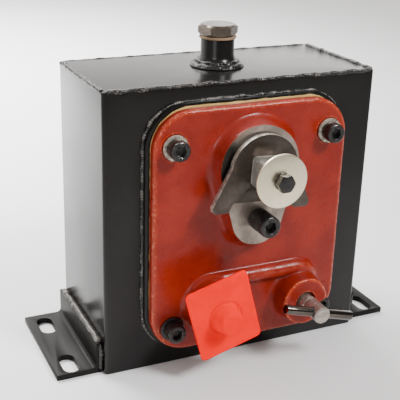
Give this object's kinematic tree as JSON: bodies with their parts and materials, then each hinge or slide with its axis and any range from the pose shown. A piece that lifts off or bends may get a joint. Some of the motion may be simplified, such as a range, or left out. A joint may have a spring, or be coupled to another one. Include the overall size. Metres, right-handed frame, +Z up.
{
  "type": "hydraulic hand pump with oil tank",
  "caption": "Lever-operated hydraulic hand pump on a welded oil tank: red flanged pump body, square lever shaft with stop plate, T-bar release valve, capped port, filler plug.",
  "frame": {"origin": "centre of the tank's underside, level with the undersides of the feet", "axes": "+X to the right of someone facing the pump body, +Y towards the back of the tank, +Z up"},
  "size_m": [0.318, 0.1823, 0.275],
  "materials": {
    "black_paint": "semi-gloss black paint",
    "red_paint": "glossy red-brown paint on a sand casting",
    "black_oxide": "black oxide",
    "zinc": "zinc plated",
    "machined_steel": "turned and milled",
    "mill_scale_steel": "flame-cut plate with mill scale",
    "ground_steel": "ground bright",
    "spring_steel": "drawn wire",
    "bronze": "turned",
    "nitrile_rubber": "moulded",
    "sealing_fibre": "pressed fibre washer",
    "gasket_sheet": "cut gasket sheet",
    "soft_red_plastic": "soft moulded plastic"
  },
  "bodies": {
    "tank": {"tank_front_plate": "black_paint", "tank_back_plate": "black_paint", "tank_left_plate": "black_paint", "tank_right_plate": "black_paint", "tank_top_plate": "black_paint", "tank_floor_plate": "black_paint", "mounting_pad": "black_paint", "foot_left": "black_paint", "foot_right": "black_paint", "filler_neck": "black_paint", "pump_body": "red_paint", "cover_screw_upper_left": "black_oxide", "cover_screw_upper_right": "black_oxide", "cover_screw_lower_left": "black_oxide", "cover_screw_lower_right": "black_oxide", "cover_washer_upper_left": "black_oxide", "cover_washer_upper_right": "black_oxide", "cover_washer_lower_left": "black_oxide", "cover_washer_lower_right": "black_oxide", "stop_screw": "black_oxide", "stop_sleeve": "black_oxide", "block_screw_upper_left": "black_oxide", "block_screw_upper_right": "black_oxide", "block_screw_lower_left": "black_oxide", "block_screw_lower_right": "black_oxide", "cylinder_block": "machined_steel", "end_plug_left": "machined_steel", "end_plug_right": "machined_steel", "suction_seat_left": "machined_steel", "suction_seat_right": "machined_steel", "delivery_cap_left": "machined_steel", "delivery_cap_right": "machined_steel", "shaft_bush_front": "bronze", "shaft_bush_rear": "bronze", "shaft_seal": "nitrile_rubber", "gasket": "gasket_sheet"},
    "rocker": {"rocker_shaft": "machined_steel", "stop_plate": "mill_scale_steel", "lever_washer": "zinc", "lever_lock_washer": "black_oxide", "lever_bolt": "black_oxide", "rocker_arm": "machined_steel", "arm_clamp_screw": "black_oxide"},
    "plunger_set": {"plunger": "ground_steel", "plunger_seal_left": "nitrile_rubber", "plunger_seal_right": "nitrile_rubber"},
    "suction_valve_left": {"suction_ball_left": "ground_steel"},
    "suction_valve_right": {"suction_ball_right": "ground_steel"},
    "delivery_valve_left": {"delivery_ball_left": "ground_steel", "delivery_spring_left": "spring_steel"},
    "delivery_valve_right": {"delivery_ball_right": "ground_steel", "delivery_spring_right": "spring_steel"},
    "release_valve_ball": {"release_ball": "ground_steel"},
    "release_handle": {"release_spindle": "machined_steel", "release_tbar": "ground_steel"},
    "filler_seal": {"filler_washer": "sealing_fibre"},
    "filler_cap": {"filler_plug": "zinc"},
    "shipping_plug": {"port_plug": "soft_red_plastic"}
  },
  "joints": [
    {"name": "rocker_swing", "type": "hinge", "parent": "tank", "child": "rocker", "pos_m": [0, -0.056, 0.177], "axis": [0, -1, 0], "range_deg": [-26.5, 32.5]},
    {"name": "plunger_stroke", "type": "slide", "parent": "tank", "child": "plunger_set", "axis": [1, 0, 0], "range_m": [-0.0133, 0.0163]},
    {"name": "suction_lift_left", "type": "slide", "parent": "tank", "child": "suction_valve_left", "axis": [0, 0, 1], "range_m": [0, 0.0015]},
    {"name": "suction_lift_right", "type": "slide", "parent": "tank", "child": "suction_valve_right", "axis": [0, 0, 1], "range_m": [0, 0.0015]},
    {"name": "delivery_lift_left", "type": "slide", "parent": "tank", "child": "delivery_valve_left", "axis": [0, 0, 1], "range_m": [0, 0.0015], "stiffness_N_per_m": 250, "springref_m": -0.004, "deforming": ["delivery_spring_left"]},
    {"name": "delivery_lift_right", "type": "slide", "parent": "tank", "child": "delivery_valve_right", "axis": [0, 0, 1], "range_m": [0, 0.0015], "stiffness_N_per_m": 250, "springref_m": -0.004, "deforming": ["delivery_spring_right"]},
    {"name": "release_travel", "type": "slide", "parent": "tank", "child": "release_valve_ball", "axis": [0, -1, 0], "range_m": [0, 0.0018]},
    {"name": "release_turn", "type": "hinge", "parent": "release_valve_ball", "child": "release_handle", "pos_m": [0.0465, -0.1115, 0.0535], "axis": [0, -1, 0], "range_deg": [0, 360]},
    {"name": "filler_travel", "type": "slide", "parent": "tank", "child": "filler_seal", "axis": [0, 0, 1], "range_m": [0, 0.0121]},
    {"name": "filler_turn", "type": "hinge", "parent": "filler_seal", "child": "filler_cap", "pos_m": [0, 0, 0.2656], "axis": [0, 0, 1], "range_deg": [0, 2160]},
    {"name": "plug_pull", "type": "slide", "parent": "tank", "child": "shipping_plug", "axis": [0, -1, 0], "range_m": [0, 0.04]}
  ],
  "couplings": [
    {"joint": "plunger_stroke", "follows": "rocker_swing", "m_per_rad": 0.0286},
    {"joint": "release_travel", "follows": "release_turn", "m_per_rad": 0.0002785},
    {"joint": "filler_travel", "follows": "filler_turn", "m_per_rad": 0.0003183}
  ]
}
